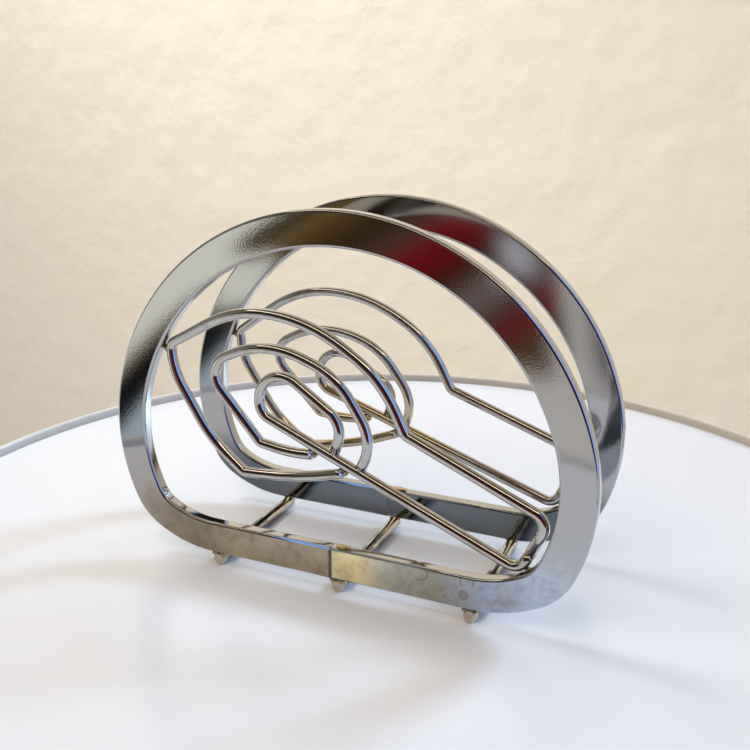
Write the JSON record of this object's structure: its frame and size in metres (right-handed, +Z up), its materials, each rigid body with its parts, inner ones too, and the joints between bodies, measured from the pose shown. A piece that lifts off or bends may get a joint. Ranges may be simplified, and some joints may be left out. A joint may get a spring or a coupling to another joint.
{
  "type": "napkin holder",
  "caption": "Upright chrome napkin holder: two flat-bar loops with bent-wire flowers, joined below by round cross rods that serve as feet.",
  "frame": {"origin": "on the table, under the middle of the whole object's box", "axes": "+X along the loops towards the flowers' stems, +Y from the front loop to the rear loop, +Z up"},
  "size_m": [0.176, 0.0584, 0.133],
  "materials": {
    "bar_chrome": "bright chrome plate over polished flat bar, faint orange peel, light tarnish near the welds",
    "wire_chrome": "bright chrome plate on drawn round wire",
    "rod_chrome": "bright chrome plate on round rod with sheared, tarnished ends"
  },
  "bodies": {
    "root": {"front_loop": "bar_chrome", "rear_loop": "bar_chrome", "front_outer_petal_wire": "wire_chrome", "front_inner_petal_wire": "wire_chrome", "front_middle_petal_wire": "wire_chrome", "rear_outer_petal_wire": "wire_chrome", "rear_inner_petal_wire": "wire_chrome", "rear_middle_petal_wire": "wire_chrome", "cross_rod_left": "rod_chrome", "cross_rod_middle": "rod_chrome", "cross_rod_right": "rod_chrome"}
  },
  "joints": []
}
